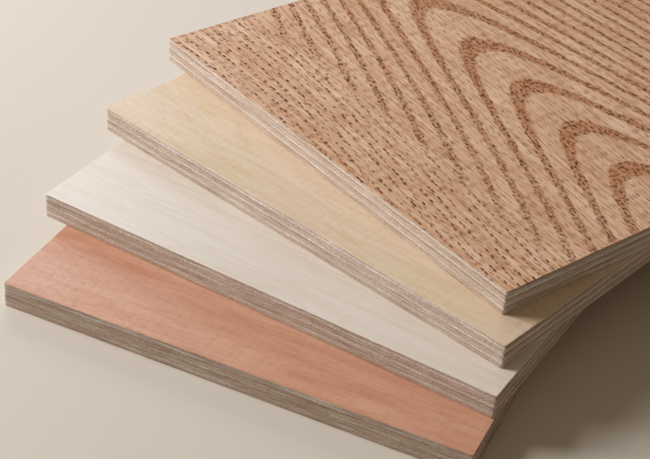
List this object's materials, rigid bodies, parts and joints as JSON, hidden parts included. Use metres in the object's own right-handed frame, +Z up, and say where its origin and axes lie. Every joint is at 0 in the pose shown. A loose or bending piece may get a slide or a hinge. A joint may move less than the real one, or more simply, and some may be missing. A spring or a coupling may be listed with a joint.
{
  "type": "stack of plywood sheets",
  "caption": "Fanned stack of small cabinet-grade plywood panels with different hardwood face veneers and sawn edges showing the cross-laminated veneers.",
  "frame": {"origin": "centre of the lowest panel's underside, on the surface that the stack lies on", "axes": "+X along the lowest panel's front edge, +Y back along its depth, +Z up out of the faces"},
  "size_m": [0.5474, 0.7482, 0.06],
  "materials": {
    "mahogany_face": "sanded, unfinished mahogany veneer, salmon pink with fine darker streaks",
    "birch_face": "sanded, unfinished white birch veneer",
    "maple_face": "sanded, unfinished maple veneer, cream with faint tan figure",
    "oak_face": "sanded, unfinished plain-sliced red oak veneer with open pores",
    "mahogany_back": "plain hardwood back veneer",
    "birch_back": "plain hardwood back veneer",
    "maple_back": "plain hardwood back veneer",
    "oak_back": "plain hardwood back veneer",
    "crossband_light": "pale core veneer, sawn edge",
    "crossband_warm": "grey-brown core veneer, sawn edge",
    "longband_light": "pale tan core veneer, sawn edge",
    "longband_warm": "brown core veneer, sawn edge"
  },
  "bodies": {
    "root": {"mahogany_back_veneer": "mahogany_back", "mahogany_crossband_bottom": "crossband_warm", "mahogany_longband_lower": "longband_warm", "mahogany_crossband_middle": "crossband_warm", "mahogany_longband_upper": "longband_warm", "mahogany_crossband_top": "crossband_warm", "mahogany_face_veneer": "mahogany_face", "birch_back_veneer": "birch_back", "birch_crossband_bottom": "crossband_warm", "birch_longband_lower": "longband_warm", "birch_crossband_middle": "crossband_warm", "birch_longband_upper": "longband_warm", "birch_crossband_top": "crossband_warm", "birch_face_veneer": "birch_face", "maple_back_veneer": "maple_back", "maple_crossband_bottom": "crossband_light", "maple_longband_lower": "longband_light", "maple_crossband_middle": "crossband_light", "maple_longband_upper": "longband_light", "maple_crossband_top": "crossband_light", "maple_face_veneer": "maple_face", "oak_back_veneer": "oak_back", "oak_crossband_bottom": "crossband_light", "oak_longband_lower": "longband_light", "oak_crossband_middle": "crossband_light", "oak_longband_upper": "longband_light", "oak_crossband_top": "crossband_light", "oak_face_veneer": "oak_face"}
  },
  "joints": []
}
